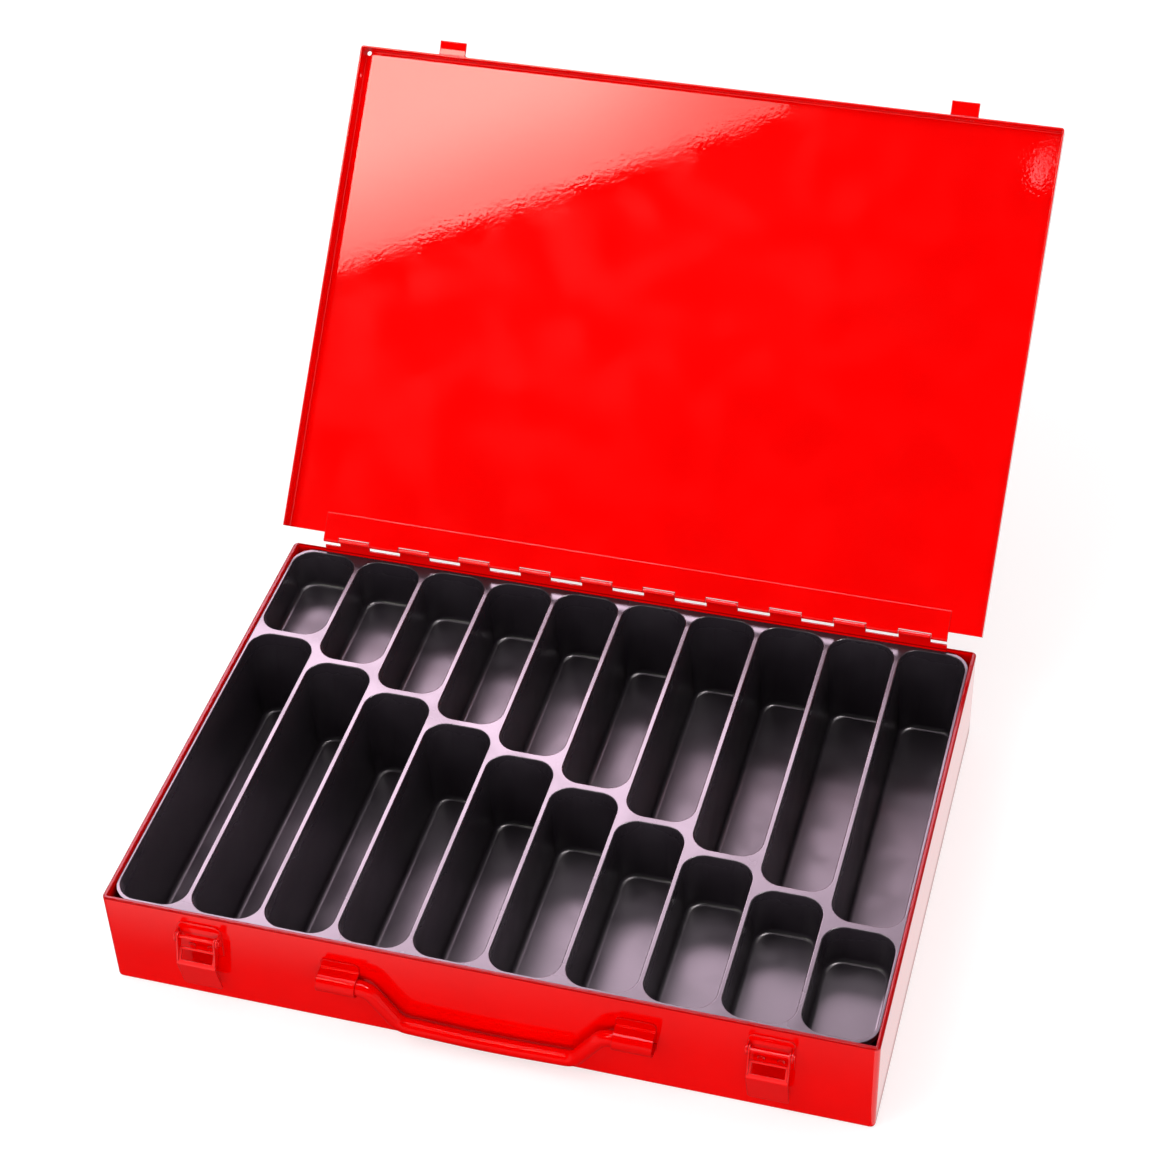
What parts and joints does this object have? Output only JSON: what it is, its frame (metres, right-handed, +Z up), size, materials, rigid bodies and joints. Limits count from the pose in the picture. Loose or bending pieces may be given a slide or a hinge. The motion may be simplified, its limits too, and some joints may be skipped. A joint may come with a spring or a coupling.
{
  "type": "compartment box",
  "caption": "Painted sheet steel compartment box with a hinged lid, slotted latches, a swinging rod handle and a dark moulded insert of graded pockets.",
  "frame": {"origin": "centre of the base's flat underside, on the surface it stands on", "axes": "+Z up, +X to the right seen from the front, -Y out of the front wall with the latches and the handle"},
  "size_m": [0.446, 0.5365, 0.3207],
  "materials": {
    "red_enamel": "gloss",
    "black_plastic": "gloss",
    "steel_wire": "satin"
  },
  "bodies": {
    "base": {"base_shell": "red_enamel", "hinge_leaf_base": "red_enamel", "hinge_pin": "steel_wire", "insert_tray": "black_plastic", "latch_plate_left": "red_enamel", "latch_plate_right": "red_enamel", "latch_pin_left": "red_enamel", "latch_pin_right": "red_enamel", "latch_rivets": "red_enamel", "handle_bracket_left": "red_enamel", "handle_bracket_right": "red_enamel"},
    "lid": {"lid_shell": "red_enamel", "hinge_leaf_lid": "red_enamel", "lid_catch_left": "red_enamel", "lid_catch_right": "red_enamel", "catch_rivets": "red_enamel"},
    "latch_left": {"latch_lever_left": "red_enamel"},
    "latch_right": {"latch_lever_right": "red_enamel"},
    "handle": {"handle": "red_enamel"}
  },
  "joints": [
    {"name": "lid_hinge", "type": "hinge", "parent": "base", "child": "lid", "pos_m": [0.0018, 0.1544, 0.076], "axis": [1, 0, 0], "range_deg": [0, 132.9]},
    {"name": "latch_left_pivot", "type": "hinge", "parent": "base", "child": "latch_left", "pos_m": [-0.1625, -0.162, 0.0533], "axis": [1, 0, 0], "range_deg": [-143, 5]},
    {"name": "latch_right_pivot", "type": "hinge", "parent": "base", "child": "latch_right", "pos_m": [0.1625, -0.162, 0.0533], "axis": [1, 0, 0], "range_deg": [-143, 5]},
    {"name": "handle_pivot", "type": "hinge", "parent": "base", "child": "handle", "pos_m": [0.004, -0.1634, 0.041], "axis": [1, 0, 0], "range_deg": [-150, 3]}
  ]
}
